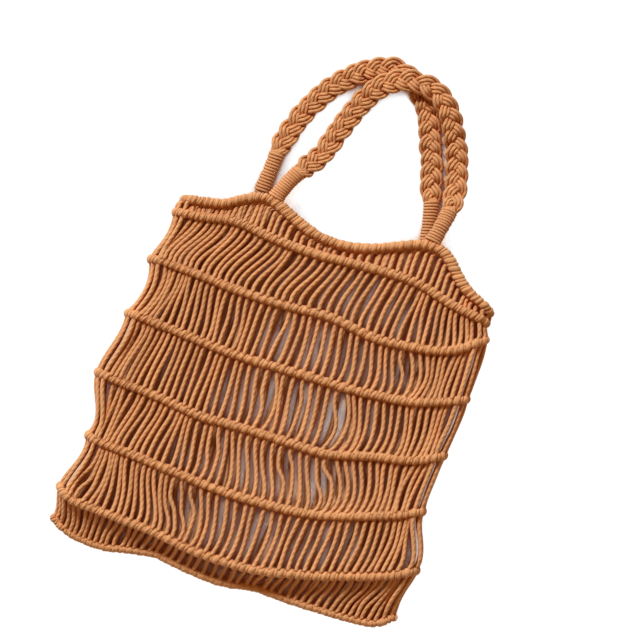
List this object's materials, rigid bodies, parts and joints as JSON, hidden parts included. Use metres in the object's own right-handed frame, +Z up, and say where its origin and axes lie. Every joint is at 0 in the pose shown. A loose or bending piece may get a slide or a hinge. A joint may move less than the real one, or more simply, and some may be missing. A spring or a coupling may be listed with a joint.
{
  "type": "knotted cord tote bag",
  "caption": "Flat-lying knotted cotton cord tote with rows of knots, bands of bare strands between them, a wavy mouth and two braided carrying handles.",
  "frame": {"origin": "on the surface that the bag lies on, under the middle of its bounding box", "axes": "+X along the rows of knots to the bag's right, +Y from the base towards the handles, +Z up from the surface, through the front panel"},
  "size_m": [0.3742, 0.5606, 0.0322],
  "materials": {
    "knotted_rows": "matt twisted cotton, knotted",
    "net_strands": "matt twisted cotton",
    "braids": "matt twisted cotton, braided",
    "wraps": "matt twisted cotton, wound"
  },
  "bodies": {
    "root": {"rim": "knotted_rows", "row_1": "knotted_rows", "row_2": "knotted_rows", "row_3": "knotted_rows", "row_4": "knotted_rows", "row_5": "knotted_rows", "row_6": "knotted_rows", "base_seam": "knotted_rows", "net_1": "net_strands", "net_2": "net_strands", "net_3": "net_strands", "net_4": "net_strands", "net_5": "net_strands", "net_6": "net_strands", "net_7": "net_strands", "handle_front_braid": "braids", "handle_back_braid": "braids", "wrap_front_left": "wraps", "wrap_front_right": "wraps", "wrap_back_left": "wraps", "wrap_back_right": "wraps"}
  },
  "joints": []
}
